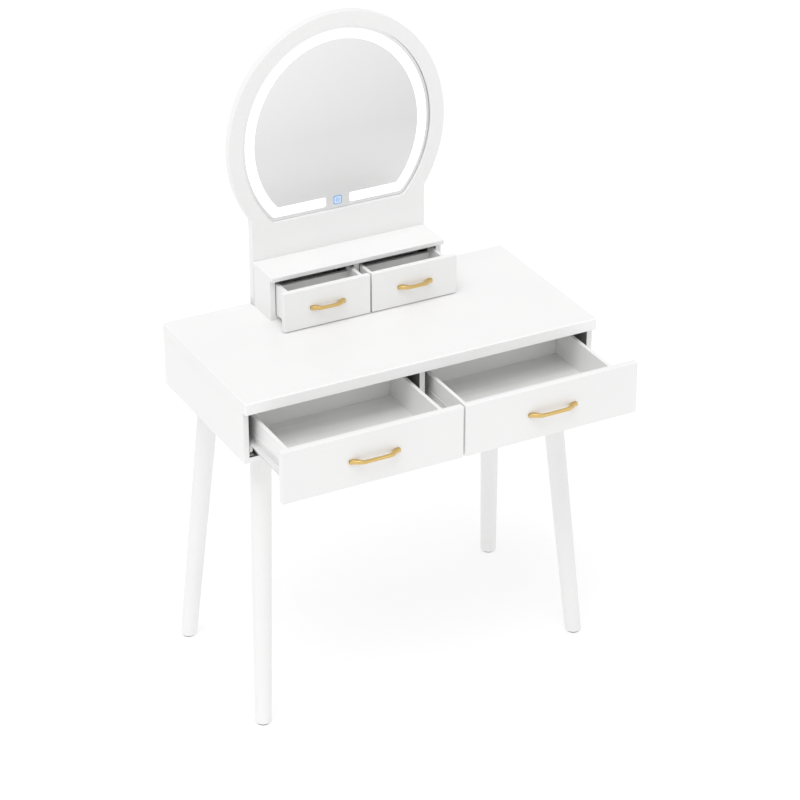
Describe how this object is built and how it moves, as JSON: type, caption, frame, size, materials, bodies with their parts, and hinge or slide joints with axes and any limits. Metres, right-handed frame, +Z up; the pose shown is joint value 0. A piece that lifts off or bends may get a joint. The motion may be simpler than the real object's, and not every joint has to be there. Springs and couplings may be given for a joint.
{
  "type": "vanity table",
  "caption": "Dressing table on splayed round legs with two wide drawers, a small drawer hutch and an oval keyhole mirror with a light band.",
  "frame": {"origin": "on the floor, under the centre of the box that holds the table with its drawers open as stored", "axes": "+Z up, +X to the right seen from the front, drawers open towards -Y"},
  "size_m": [0.8, 0.5856, 1.3745],
  "materials": {
    "white_lacquer": "satin lacquer on board",
    "drawer_lining": "thin coated board",
    "steel": "zinc plated",
    "slide_paint": "powder coated",
    "nylon": "matt",
    "brushed_gold": "brushed",
    "glide_rubber": "matt",
    "mirror": "silvered glass",
    "light_band": "frosted and lit from behind",
    "led": "gloss",
    "touch_light": "gloss",
    "cover_plastic": "fine grain",
    "socket_plastic": "matt"
  },
  "bodies": {
    "table": {"table_top": "white_lacquer", "left_side_panel": "white_lacquer", "right_side_panel": "white_lacquer", "back_panel": "white_lacquer", "centre_divider": "white_lacquer", "bottom_panel": "white_lacquer", "leg_front_left": "white_lacquer", "leg_front_right": "white_lacquer", "leg_rear_left": "white_lacquer", "leg_rear_right": "white_lacquer", "foot_glides": "glide_rubber", "leg_plates": "steel", "leg_bolts": "steel", "wood_screws": "steel", "cabinet_rails": "slide_paint", "hutch_top": "white_lacquer", "hutch_bottom": "white_lacquer", "hutch_left_side": "white_lacquer", "hutch_right_side": "white_lacquer", "hutch_divider": "white_lacquer", "mirror_board": "white_lacquer", "mirror_glass": "mirror", "light_band": "light_band", "led_strip": "led", "touch_switch": "touch_light", "rear_cover": "cover_plastic", "power_socket": "socket_plastic", "cover_screws": "steel"},
    "left_drawer": {"left_drawer_front": "white_lacquer", "left_drawer_side_l": "white_lacquer", "left_drawer_side_r": "white_lacquer", "left_drawer_back": "white_lacquer", "left_drawer_base": "drawer_lining", "left_drawer_handle": "brushed_gold", "left_drawer_screws": "steel", "left_drawer_rails": "slide_paint"},
    "left_front_rollers": {"left_front_rollers": "nylon"},
    "left_rear_rollers": {"left_rear_rollers": "nylon"},
    "small_left_drawer": {"small_left_front": "white_lacquer", "small_left_sides": "white_lacquer", "small_left_back": "white_lacquer", "small_left_base": "drawer_lining", "small_left_handle": "brushed_gold", "small_left_screws": "steel"},
    "right_drawer": {"right_drawer_front": "white_lacquer", "right_drawer_side_l": "white_lacquer", "right_drawer_side_r": "white_lacquer", "right_drawer_back": "white_lacquer", "right_drawer_base": "drawer_lining", "right_drawer_handle": "brushed_gold", "right_drawer_screws": "steel", "right_drawer_rails": "slide_paint"},
    "right_front_rollers": {"right_front_rollers": "nylon"},
    "right_rear_rollers": {"right_rear_rollers": "nylon"},
    "small_right_drawer": {"small_right_front": "white_lacquer", "small_right_sides": "white_lacquer", "small_right_back": "white_lacquer", "small_right_base": "drawer_lining", "small_right_handle": "brushed_gold", "small_right_screws": "steel"}
  },
  "joints": [
    {"name": "left_drawer_slide", "type": "slide", "parent": "table", "child": "left_drawer", "axis": [0, -1, 0], "range_m": [-0.1615, 0.03]},
    {"name": "right_drawer_slide", "type": "slide", "parent": "table", "child": "right_drawer", "axis": [0, -1, 0], "range_m": [-0.1615, 0.03]},
    {"name": "small_left_drawer_slide", "type": "slide", "parent": "table", "child": "small_left_drawer", "axis": [0, -1, 0], "range_m": [-0.0545, 0.005]},
    {"name": "small_right_drawer_slide", "type": "slide", "parent": "table", "child": "small_right_drawer", "axis": [0, -1, 0], "range_m": [-0.0545, 0.005]},
    {"name": "left_front_roller_spin", "type": "hinge", "parent": "table", "child": "left_front_rollers", "pos_m": [-0.1965, -0.08375, 0.649], "axis": [1, 0, 0], "continuous": true},
    {"name": "left_rear_roller_spin", "type": "hinge", "parent": "left_drawer", "child": "left_rear_rollers", "pos_m": [-0.1965, -0.02275, 0.6475], "axis": [1, 0, 0], "continuous": true},
    {"name": "right_front_roller_spin", "type": "hinge", "parent": "table", "child": "right_front_rollers", "pos_m": [0.1965, -0.08375, 0.649], "axis": [1, 0, 0], "continuous": true},
    {"name": "right_rear_roller_spin", "type": "hinge", "parent": "right_drawer", "child": "right_rear_rollers", "pos_m": [0.1965, -0.02275, 0.6475], "axis": [1, 0, 0], "continuous": true}
  ],
  "couplings": [
    {"joint": "left_front_roller_spin", "follows": "left_drawer_slide", "rad_per_m": 86.957},
    {"joint": "left_rear_roller_spin", "follows": "left_drawer_slide", "rad_per_m": 100},
    {"joint": "right_front_roller_spin", "follows": "right_drawer_slide", "rad_per_m": 86.957},
    {"joint": "right_rear_roller_spin", "follows": "right_drawer_slide", "rad_per_m": 100}
  ]
}
